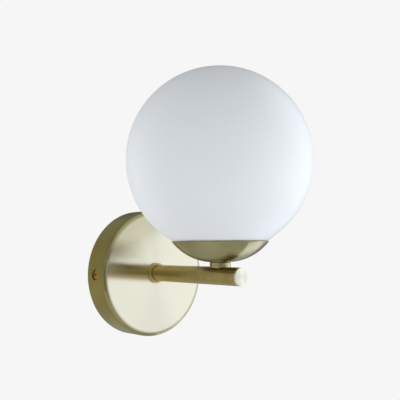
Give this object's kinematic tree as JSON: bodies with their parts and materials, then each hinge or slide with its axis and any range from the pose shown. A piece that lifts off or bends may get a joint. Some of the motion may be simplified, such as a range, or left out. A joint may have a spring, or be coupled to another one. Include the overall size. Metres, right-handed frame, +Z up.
{
  "type": "globe wall light",
  "caption": "Wall light with a round plate, a horizontal tube arm and an opal glass globe that stands in a shallow metal cup over the arm's end, with a plug-in capsule lamp inside.",
  "frame": {"origin": "on the wall at the middle of the wall bracket's cable hole, which is on the arm's axis", "axes": "the wall is the plane y = 0 and the light stands out towards -Y; +Z is up along the globe's axis, +X is to the right for somebody who faces the wall"},
  "size_m": [0.15, 0.1795, 0.2236],
  "materials": {
    "antique_brass": "satin antique",
    "bare_brass": "turned",
    "orange_brass": "polished",
    "zinc_steel": "zinc plated",
    "spring_steel": "rolled",
    "insulator": "moulded",
    "ceramic": "unglazed",
    "opal_glass": "satin",
    "clear_glass": "clear",
    "lamp_ceramic": "matt",
    "soft_ring": "silicone",
    "grommet": "moulded",
    "live_sleeve": "silicone",
    "neutral_sleeve": "silicone",
    "earth_sleeve": "silicone"
  },
  "bodies": {
    "fixture": {"wall_bracket": "zinc_steel", "terminal_block": "insulator", "terminal_inserts": "bare_brass", "terminal_screws": "zinc_steel", "terminal_fixing_screw": "zinc_steel", "earth_screw": "bare_brass", "earth_cup_washer": "bare_brass", "earth_tag": "zinc_steel", "canopy": "antique_brass", "canopy_screws": "orange_brass", "arm_collar": "antique_brass", "arm_tube": "antique_brass", "arm_root_bush": "bare_brass", "canopy_nipple": "zinc_steel", "canopy_lock_washer": "spring_steel", "canopy_nut": "zinc_steel", "canopy_grommet": "grommet", "arm_end_plug": "antique_brass", "neck": "antique_brass", "cup": "antique_brass", "cup_nipple": "zinc_steel", "cup_washer": "zinc_steel", "globe_spring": "spring_steel", "lampholder_bracket": "zinc_steel", "cup_lock_washer": "spring_steel", "cup_nut": "zinc_steel", "cup_grommet": "grommet", "lampholder": "ceramic", "lampholder_contacts": "spring_steel", "lampholder_screws": "zinc_steel", "glass_gasket": "soft_ring", "wire_earth": "earth_sleeve", "wire_live": "live_sleeve", "wire_neutral": "neutral_sleeve"},
    "globe": {"globe": "opal_glass"},
    "lamp": {"lamp_base": "lamp_ceramic", "lamp_envelope": "clear_glass", "lamp_pins": "spring_steel"}
  },
  "joints": [
    {"name": "globe_lift", "type": "slide", "parent": "fixture", "child": "globe", "axis": [0, 0, 1], "range_m": [0, 0.095]},
    {"name": "lamp_pull", "type": "slide", "parent": "fixture", "child": "lamp", "axis": [0, 0, 1], "range_m": [0, 0.02]}
  ]
}
